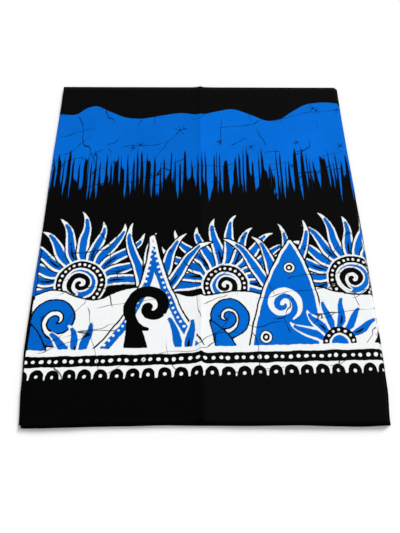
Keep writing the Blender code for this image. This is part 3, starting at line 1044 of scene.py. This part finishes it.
def printed_cotton(name):
    """The print: black and blue dye round the waxed white, with crackle, an uneven dye, and painted light and
    shade on the dyes.
    """
    looks = bpy.context.scene.sarong_print
    material, wiring = cotton(name + " cotton")
    across, down = flat_place(wiring)
    slubs = weave(wiring, across, down)
    place = wiring.place(across, down)
    wobble = (wiring.noise(place, WOBBLE_SCALE) - 0.5) * EDGE_WOBBLE
    white = (wiring.number("white_edge") + wobble).edge(DRAWN_SOFTNESS)
    blue = (wiring.number("blue_edge") + wobble).edge(DRAWN_SOFTNESS)
    wave = (wobble - wiring.number("wave_edge")).edge(POURED_SOFTNESS)
    blue = blue.math("MAXIMUM", wave * streaks(wiring, across, down).edge(POURED_SOFTNESS))
    mottle = wiring.noise(place, 0.012, 4.0, 0.6).ramp(0.3, 0.7, 0.93, 1.07, "LINEAR")
    threads = slubs.ramp(0.75, 1.25, 0.95, 1.04, "LINEAR")
    # The dyes drawn lighter or darker by place: painted light and shade, and the blue duller in the motifs
    black_painted_light, blue_painted_light_and_dulling = painted_light_on_dyes(across, down)
    colour = wiring.mix(blue, wiring.tinted(looks.black, black_painted_light),
                        wiring.tinted(looks.blue, mottle * threads * blue_painted_light_and_dulling))
    colour = wiring.mix(white, colour, wiring.tinted(looks.white, threads))
    veins = cracks(wiring, place, across, down) * white.math("MAXIMUM", blue)
    kept = 1.0 - veins.math("MAXIMUM", stars(wiring, place) * blue) * CRACK_DARKNESS
    kept = wiring.out("ShaderNodeCombineColor", Red=kept, Green=kept, Blue=kept)
    wiring.fill(wiring.shader, Base_Color=wiring.mix(1.0, colour, kept, "MULTIPLY"))
    return material


# Pieces


def finished(piece, slot, *nodes):
    """Seats a piece in the frame: its body, and the solids that it stands for. The finish it is given is not
    used.
    """
    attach(piece, BODY)
    if nodes:
        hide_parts(*nodes)
    return piece


# Where the rows of a printed cloth start and end, and between which of them the drawn print lies, down in mm
HEM_ROW, FOLD_ROW = 597.0, 5.0
PRINT_LOW, PRINT_HIGH = 546.0, 256.0
HEM_ROW_STEP = 6.0
FAR_ROWS = 43
INNER_ROWS = 60
ROLL_STEPS = 8


def print_rows(step):
    """Where a printed cloth's rows lie, as shares of the way from hem to far fold: close in the print."""
    low = np.arange(HEM_ROW, PRINT_LOW, -HEM_ROW_STEP)
    fine = np.arange(PRINT_LOW, PRINT_HIGH, -step / MM)
    far = np.linspace(PRINT_HIGH, FOLD_ROW, FAR_ROWS)
    return (HEM_ROW - np.concatenate([low, fine, far])) / (HEM_ROW - FOLD_ROW)


def print_numbers(places):
    """Distances to the print's edges at places on the flat cloth."""
    across, down = places.T / MM
    cloth = Print(across, down)
    draw_motifs(cloth)
    draw_bands(cloth)
    draw_left_fold(cloth)
    edges = {colour + "_edge": edge for colour, edge in cloth.edges.items()}
    return {**edges, "wave_edge": down - wave_line(across)}


def printed_sheet(name, layer, step, ripple=0.0):
    """A quarter of the tube as a thin closed shell with the print."""
    columns = np.linspace(0, 1, round(2 * HALF_WIDTH / step))
    shares = np.linspace(0, 1, INNER_ROWS)
    outer, outer_places = rolled_grid(layer, 0.0, columns, print_rows(step), ROLL_STEPS, ripple)
    inner, inner_places = rolled_grid(layer, folds().cloth, shares, shares, ROLL_STEPS, ripple)
    start = outer[..., 0].size
    faces = grid_faces(outer) + grid_faces(inner, start, flip=True)
    for long_side, short_side in zip(grid_sides(outer), grid_sides(inner, start)):
        faces += zipped(long_side, short_side)
    if layer["up"] < 0:
        faces = [tuple(face)[::-1] for face in faces]
    places = flat_rows(outer_places, inner_places)
    return add_mesh(name, flat_rows(outer, inner), faces, printed_cotton(name), places, print_numbers(places))


def front_cloth():
    """The quarter of the tube that lies on top."""
    return printed_sheet("front_cloth", front_layer(), folds().mesh_step, folds().ripple)


# How much coarser the mesh is where little of the print shows
COARSER = 1.5


def waist_cloth():
    """The waist half of the tube, turned under; its print mirrors the front's at the far fold."""
    return printed_sheet("waist_cloth", waist_layer(), COARSER * folds().mesh_step)


HEM_DEPTH = 6.5 * MM
HEM_SETBACK = 0.3 * MM
HEM_FOLD = 1.0 * MM
HEM_CLEAR = 0.05 * MM
HEM_ROWS, HEM_COLUMNS = 5, 160


def hem_fold():
    """The doubled strip turned up inside the front cloth's near edge."""
    size = folds()
    rows = np.linspace(HEM_SETBACK, HEM_DEPTH, HEM_ROWS) / (2 * HALF_HEIGHT)
    columns = np.linspace(0, 1, HEM_COLUMNS)
    upper, places = rolled_grid(front_layer(), size.cloth + HEM_CLEAR, columns, rows, 0, size.ripple)
    lower = upper - np.array([0, 0, HEM_FOLD])
    start = upper[..., 0].size
    edge = boundary(upper)
    faces = grid_faces(upper) + grid_faces(lower, start, flip=True)
    faces += joined(edge, [start + place for place in edge])
    return add_mesh("hem_fold", flat_rows(upper, lower), faces, plain_cotton("hem cotton"),
                    flat_rows(places, places))


# Near edges of the hidden layers, from the top
NEAR_PLIES = np.array([
    # top height, thickness, setback behind the line of the hems, how far that wanders
    (6.45, 1.05, 1.3, 0.7),
    (5.35, 1.00, -0.4, 0.8),
    (4.30, 1.00, 0.7, 0.7),
    (3.25, 0.62, 1.8, 0.6),
    (2.58, 0.50, 0.2, 0.6),
    (2.03, 0.50, 1.2, 0.5),
]) * MM
PLY_PROFILE = (
    # share of the thickness below the top, height and setback added
    (0.0, 0.02 * MM, 1.7 * MM),
    (0.08, 0.0, 0.25 * MM),
    (0.35, 0.0, 0.0),
    (0.75, 0.0, 0.0),
    (0.97, 0.0, 0.3 * MM),
)
WANDER_LENGTH = 0.17

HIDDEN_COLUMNS = 90
HIDDEN_ROLL_STEPS = 6
HIDDEN_SETBACK = 3.2 * MM
HIDDEN_CLEAR = 0.1 * MM
# How far from the front's hem the hidden layers make room for it: all of it, and none
HEM_ROOM = HEM_FOLD + HEM_CLEAR + 0.35 * MM
HEM_ROOM_REACH = (10 * MM, 22 * MM)

# Side edges of the hidden layers, from the top ring to the bottom one: heights, and how far they lie inside
PLAIN_HEIGHTS = (4.3 * MM, 3.85 * MM)
PLAIN_INSETS = (1.6 * MM, 2.35 * MM)
RIGHT_HEIGHTS = (4.12 * MM, 2.57 * MM)
RIGHT_INSET = 5.4 * MM
# How far the upper and the lower folded lip at the right reach out, how blunt they are, and how far the print
# moves on from ring to ring
LIP_REACHES = (3.3 * MM, 2.5 * MM)
LIP_BLUNTNESS = 0.45
LIP_WALK = 0.7 * MM


def folded_layers():
    """The hidden layers: one body whose near edge steps through the hems, with two lips at the right."""
    size = folds()
    grid = (np.linspace(0, 1, HIDDEN_COLUMNS), print_rows(COARSER * size.mesh_step), HIDDEN_ROLL_STEPS)
    hidden = {"near": lambda x: near_end(x, HIDDEN_HEMS) + HIDDEN_SETBACK, "corners": ROUND_CORNERS}
    upper, places = rolled_grid({**front_layer(), **hidden}, size.cloth + HIDDEN_CLEAR, *grid, size.ripple)
    lower, _ = rolled_grid({**waist_layer(), **hidden}, size.cloth + HIDDEN_CLEAR, *grid)
    flat = upper[:, HIDDEN_ROLL_STEPS:-HIDDEN_ROLL_STEPS]
    full, none = HEM_ROOM_REACH
    reach = flat[..., 1] - hem_edge(flat[..., 0])
    flat[..., 2] -= HEM_ROOM * eased((none - reach) / (none - full))
    edge = boundary(upper)
    rows, columns = np.divmod(np.array(edge), upper.shape[1])
    high = upper.reshape(-1, 3)[edge]
    rings = [(top - share * thick + raised, back + notch, wander, ply)
             for ply, (top, thick, back, wander) in enumerate(NEAR_PLIES)
             for share, raised, notch in PLY_PROFILE]
    loops = [layered_ring(ring, share, high, rows, columns, upper.shape)
             for ring, share in zip(rings, np.linspace(0, 1, len(rings)))]
    start = upper[..., 0].size
    faces = grid_faces(upper) + grid_faces(lower, start, flip=True)
    chain = edge
    for first in range(2 * start, 2 * start + len(rings) * len(edge), len(edge)):
        after = list(range(first, first + len(edge)))
        faces += joined(chain, after)
        chain = after
    faces += joined(chain, [start + place for place in edge])
    outward = np.where(columns < upper.shape[1] / 2, -LIP_WALK, LIP_WALK)[:, None] * [1, 0]
    edge_places = places.reshape(-1, 2)[edge]
    all_places = flat_rows(places, places, *(edge_places + outward * step for step in range(len(rings))))
    return add_mesh("folded_layers", flat_rows(upper, lower, *loops), faces, printed_cotton("folded_layers"),
                    all_places, print_numbers(all_places))


def layered_ring(ring, share, high, rows, columns, shape):
    """Points of one ring round the hidden layers' edge."""
    near_height, near_back, wander, ply = ring
    x, y = high[:, 0], high[:, 1]
    plain_height, plain_inset, right_height = (
        np.interp(share, (0, 1), ends) for ends in (PLAIN_HEIGHTS, PLAIN_INSETS, RIGHT_HEIGHTS))
    lip = LIP_REACHES[int(share >= 0.5)] * abs(math.sin(2 * math.pi * share)) ** LIP_BLUNTNESS
    left_edge = left_side(y) + tuck(y) + plain_inset
    right_edge = right_side(y) - RIGHT_INSET + lip
    on_left = columns < shape[1] / 2
    side_x = np.where(on_left, left_edge, right_edge)
    side_z = np.where(on_left, plain_height, right_height)
    to_side = np.minimum(columns, shape[1] - 1 - columns)
    corner = np.clip(1 - to_side / HIDDEN_ROLL_STEPS, 0, 1)
    near_x = x + corner * (side_x - x)
    near_y = near_end(x, HIDDEN_HEMS) + near_back + wander * waves(x, ply * 0.7, WANDER_LENGTH, ply + 2)
    near = np.stack([near_x, near_y, near_height + corner * (side_z - near_height)], axis=1)
    radius = folds().roll_reach
    top_right = right_side(y) - folds().right_step - folds().right_reach
    away_x = x - np.where(on_left, left_side(y) + radius, top_right)
    away_y = y - HALF_HEIGHT + radius
    length = np.maximum(np.hypot(away_x, away_y), 1e-9)
    away_x, away_y = away_x / length, away_y / length
    flat = to_side >= HIDDEN_ROLL_STEPS
    round_x = np.where(on_left, left_edge + radius, right_edge - radius) + away_x * radius
    far_y = HALF_HEIGHT - plain_inset - np.where(flat, 0.0, radius * (1 - away_y))
    far_z = plain_height + np.where(on_left | flat, 0.0, away_x ** 2) * (right_height - plain_height)
    far = np.stack([np.where(flat, x, round_x), far_y, far_z], axis=1)
    side = np.stack([side_x, y, side_z], axis=1)
    at_far = (rows >= shape[0] - HIDDEN_ROLL_STEPS)[:, None]
    return np.where((rows == 0)[:, None], near, np.where(at_far, far, side))


# Hem stitches

STITCH_LINE = 5.6 * MM
STITCH_PITCH = 2.7 * MM
STITCH_LENGTH = 1.9 * MM
STITCH_COLOURS = ((0.004, 0.004, 0.005), (0.014, 0.014, 0.016))
STITCH_SKEW = (0.05, 0.12, 0.12)
THREAD_RADIUS = 0.16 * MM
THREAD_LIFT = 0.06 * MM
STITCH_LINE_POINTS = 240


def stitch_tree(material):
    """Geometry nodes that lay short threads end to end along a line."""
    tree = bpy.data.node_groups.new("stitches along a line", "GeometryNodeTree")
    tree.interface.new_socket(name="Line", in_out="INPUT", socket_type="NodeSocketGeometry")
    for name, value in (("Pitch", STITCH_PITCH), ("Length", STITCH_LENGTH), ("Radius", THREAD_RADIUS)):
        socket = tree.interface.new_socket(name=name, in_out="INPUT", socket_type="NodeSocketFloat")
        socket.default_value = value
    tree.interface.new_socket(name="Stitches", in_out="OUTPUT", socket_type="NodeSocketGeometry")
    wiring = Wiring(tree)
    given = wiring.add("NodeGroupInput").outputs
    curve = wiring.out("GeometryNodeMeshToCurve", Mesh=given["Line"])
    points = wiring.out("GeometryNodeResampleCurve", {"mode": "LENGTH"}, Curve=curve, Length=given["Pitch"])
    ball = wiring.out("GeometryNodeMeshUVSphere", Segments=6, Rings=5, Radius=1.0)
    half = wiring.math("MULTIPLY", given["Length"], 0.5)
    scale = wiring.out("ShaderNodeCombineXYZ", X=half, Y=given["Radius"], Z=given["Radius"])
    skew = wiring.out("FunctionNodeRandomValue", {"data_type": "FLOAT_VECTOR"},
                      Min=tuple(-most for most in STITCH_SKEW), Max=STITCH_SKEW, Seed=5)
    along = wiring.vector("ADD", wiring.out("GeometryNodeInputTangent"), skew)
    turn = wiring.out("FunctionNodeAlignRotationToVector", {"axis": "X"}, Vector=along)
    made = wiring.out("GeometryNodeInstanceOnPoints", Points=points, Instance=ball, Rotation=turn,
                      Scale=scale)
    made = wiring.out("GeometryNodeRealizeInstances", Geometry=made)
    made = wiring.out("GeometryNodeSetShadeSmooth", Geometry=made)
    made = wiring.out("GeometryNodeSetMaterial", Geometry=made, Material=material)
    wiring.add("NodeGroupOutput", Stitches=made)
    return tree


def hem_stitches():
    """The row of machine stitches that holds the hem, just above the front cloth's near edge."""
    material, wiring = cotton("hem thread")
    noise = wiring.noise(wiring.add("ShaderNodeTexCoord").outputs["Object"], 900.0)
    wiring.fill(wiring.shader, Roughness=0.55, Base_Color=wiring.mix(noise, *STITCH_COLOURS))
    row = np.array([STITCH_LINE / (2 * HALF_HEIGHT)])
    line, _ = rolled_grid(front_layer(), 0.0, np.linspace(0, 1, STITCH_LINE_POINTS), row, 0, folds().ripple)
    line = line.reshape(-1, 3) + np.array([0, 0, THREAD_LIFT])
    mesh = bpy.data.meshes.new("hem line")
    mesh.from_pydata([tuple(point) for point in line], [(at, at + 1) for at in range(len(line) - 1)], [])
    guide = new_object("hem line", mesh)
    guide.modifiers.new("stitches", "NODES").node_group = stitch_tree(material)
    made = bpy.data.meshes.new_from_object(guide.evaluated_get(bpy.context.evaluated_depsgraph_get()))
    bpy.data.objects.remove(guide)
    made.materials.clear()
    made.materials.append(material)
    made.name = "hem_stitches"
    return new_object("hem_stitches", made)


# Stage

CAMERA_PLACE = Vector((-0.0189, -0.4233, 0.7565))
CAMERA_PITCH = math.radians(64.25)
CAMERA_TURN = math.radians(2.24)
CAMERA_ROLL = math.radians(1.88)
FRAME_HEIGHT_MM = 36.0
FLOOR_SIZE = 30.0
FLOOR_WHITE = 0.9
FLOOR_ROUGHNESS = 0.9
KEY_DIRECTION = Vector((-0.36, -0.70, -0.72))
KEY_SOFTNESS = math.radians(26)


def camera(stage):
    data = bpy.data.cameras.new("camera")
    data.sensor_fit = "VERTICAL"
    data.sensor_height = FRAME_HEIGHT_MM
    data.lens = stage.lens
    eye = new_object("camera", data)
    aim = (Matrix.Rotation(-CAMERA_TURN, 4, "Z") @ Matrix.Rotation(math.pi / 2 - CAMERA_PITCH, 4, "X")
           @ Matrix.Rotation(CAMERA_ROLL, 4, "Z"))
    eye.matrix_world = Matrix.Translation(CAMERA_PLACE) @ aim
    bpy.context.scene.camera = eye


def floor():
    half = FLOOR_SIZE / 2
    corners = [(-half, -half, 0), (half, -half, 0), (half, half, 0), (-half, half, 0)]
    mesh = bpy.data.meshes.new("floor")
    mesh.from_pydata(corners, [], [(0, 1, 2, 3)])
    material, _ = new_material("white floor", Base_Color=(FLOOR_WHITE,) * 3 + (1.0,),
                               Roughness=FLOOR_ROUGHNESS, Specular_IOR_Level=0.0)
    mesh.materials.append(material)
    new_object("floor", mesh)


def lights(stage):
    world = bpy.data.worlds.new("studio")
    world.use_nodes = True
    background = world.node_tree.nodes["Background"]
    background.inputs["Color"].default_value = (1.0, 1.0, 1.0, 1.0)
    background.inputs["Strength"].default_value = stage.ambient
    bpy.context.scene.world = world
    sun = bpy.data.lights.new("key", "SUN")
    sun.energy = stage.key
    sun.angle = KEY_SOFTNESS
    new_object("key", sun).rotation_euler = KEY_DIRECTION.to_track_quat("-Z", "Y").to_euler()


# Operators, panel and run


class SARONG_OT_waist_cloth(bpy.types.Operator):
    """Make the waist half of the tube, turned under."""

    bl_idname = "sarong.waist_cloth"
    bl_label = "Waist cloth"

    def execute(self, context):
        piece = finished(waist_cloth(), "printed_cloth", "waist_panel")
        return {"FINISHED"}


class SARONG_OT_folded_layers(bpy.types.Operator):
    """Make the hidden layers between the front and the waist cloth."""

    bl_idname = "sarong.folded_layers"
    bl_label = "Folded layers"

    def execute(self, context):
        finished(folded_layers(), "hidden_cloth", "inner_layers")
        return {"FINISHED"}


class SARONG_OT_hem(bpy.types.Operator):
    """Make the turned-up hem and its row of stitches."""

    bl_idname = "sarong.hem"
    bl_label = "Hem and stitches"

    def execute(self, context):
        finished(hem_fold(), "hem_cloth", "hem_strip")
        finished(hem_stitches(), "hem_cloth")
        return {"FINISHED"}


class SARONG_OT_front_cloth(bpy.types.Operator):
    """Make the printed quarter of the tube that lies on top."""

    bl_idname = "sarong.front_cloth"
    bl_label = "Front cloth"

    def execute(self, context):
        piece = finished(front_cloth(), "printed_cloth", "front_panel")
        return {"FINISHED"}


class SARONG_OT_stage(bpy.types.Operator):
    """Set the floor, the light and the camera."""

    bl_idname = "sarong.stage"
    bl_label = "Stage"

    def execute(self, context):
        stage = context.scene.sarong_stage
        context.scene.view_settings.view_transform = "Standard"
        floor()
        lights(stage)
        camera(stage)
        return {"FINISHED"}


class SARONG_PT_panel(bpy.types.Panel):
    """Lists the pieces of the sarong."""

    bl_idname = "SARONG_PT_panel"
    bl_label = "Folded sarong"
    bl_space_type = "VIEW_3D"
    bl_region_type = "UI"
    bl_category = "Sarong"

    def draw(self, context):
        for group in (context.scene.sarong_folds, context.scene.sarong_print, context.scene.sarong_stage):
            for name in group.bl_rna.properties.keys():
                if name not in ("rna_type", "name"):
                    self.layout.prop(group, name)
        for piece in PIECES:
            self.layout.operator(piece.bl_idname)


PIECES = (
    SARONG_OT_waist_cloth,
    SARONG_OT_folded_layers,
    SARONG_OT_hem,
    SARONG_OT_front_cloth,
    SARONG_OT_stage,
)
GROUPS = {"sarong_folds": SarongFolds, "sarong_print": SarongPrint, "sarong_stage": SarongStage}


def register():
    for name, group in GROUPS.items():
        bpy.utils.register_class(group)
        setattr(bpy.types.Scene, name, bpy.props.PointerProperty(type=group))
    for item in (*PIECES, SARONG_PT_panel):
        bpy.utils.register_class(item)


def unregister():
    for item in (SARONG_PT_panel, *reversed(PIECES)):
        bpy.utils.unregister_class(item)
    for name, group in reversed(GROUPS.items()):
        delattr(bpy.types.Scene, name)
        bpy.utils.unregister_class(group)


def main():
    register()
    bpy.ops.sarong.waist_cloth()
    bpy.ops.sarong.folded_layers()
    bpy.ops.sarong.hem()
    bpy.ops.sarong.front_cloth()
    bpy.ops.sarong.stage()


if __name__ == "__main__":
    main()
